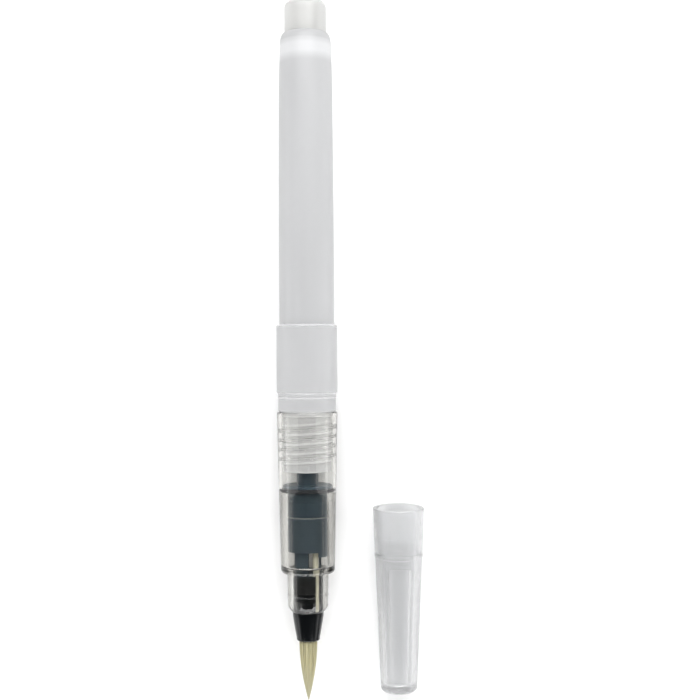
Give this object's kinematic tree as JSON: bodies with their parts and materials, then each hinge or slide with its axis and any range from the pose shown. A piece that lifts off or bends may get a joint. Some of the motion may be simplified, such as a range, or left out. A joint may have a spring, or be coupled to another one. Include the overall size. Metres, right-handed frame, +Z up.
{
  "type": "water brush pen",
  "caption": "Refillable water brush pen, uncapped: frosted squeeze barrel with collar, clear front section with black feed, ferrule and pointed bristle tuft, tapered frosted cap beside it.",
  "frame": {"origin": "centre of the base of the bounding box, on the surface that the pen and its cap lie on", "axes": "+Y along the pen towards its rear end, +Z up, +X from the pen towards the cap"},
  "size_m": [0.0324, 0.154, 0.0134],
  "materials": {
    "frosted_plug": "translucent, frosted",
    "frosted_barrel": "translucent, frosted",
    "clear_section": "clear, polished",
    "seal_rubber": "satin",
    "feed_black": "satin",
    "fibre": "matt fibre",
    "ferrule_black": "polished",
    "nylon_fused": "melted",
    "nylon_bristle": "fine filaments",
    "frosted_cap": "translucent, frosted"
  },
  "bodies": {
    "barrel": {"barrel": "frosted_barrel", "rear_plug": "frosted_plug"},
    "seal": {"seal_ring": "seal_rubber"},
    "front": {"front_section": "clear_section", "feed_upper": "feed_black", "regulator": "fibre", "feed_lower": "feed_black", "wick": "fibre", "ferrule": "ferrule_black", "tuft_root": "nylon_fused"},
    "tuft": {"bristle_tuft": "nylon_bristle"},
    "cap": {"cap": "frosted_cap"}
  },
  "joints": [
    {"name": "section_travel", "type": "slide", "parent": "barrel", "child": "seal", "axis": [0, -1, 0], "range_m": [0, 0.01026]},
    {"name": "section_screw", "type": "hinge", "parent": "seal", "child": "front", "pos_m": [-0.00949, -0.031, 0.00669], "axis": [0, -1, 0], "range_deg": [0, 1800]},
    {"name": "tuft_bend", "type": "hinge", "parent": "front", "child": "tuft", "pos_m": [-0.00949, -0.064, 0.00669], "axis": [0, 0, 1], "range_deg": [-30, 30], "stiffness_Nm_per_rad": 0.001},
    {"name": "cap_pull", "type": "slide", "parent": "barrel", "child": "cap", "axis": [0, -1, 0], "range_m": [0, 0.028]}
  ],
  "couplings": [
    {"joint": "section_travel", "follows": "section_screw", "m_per_rad": 0.00032627}
  ]
}
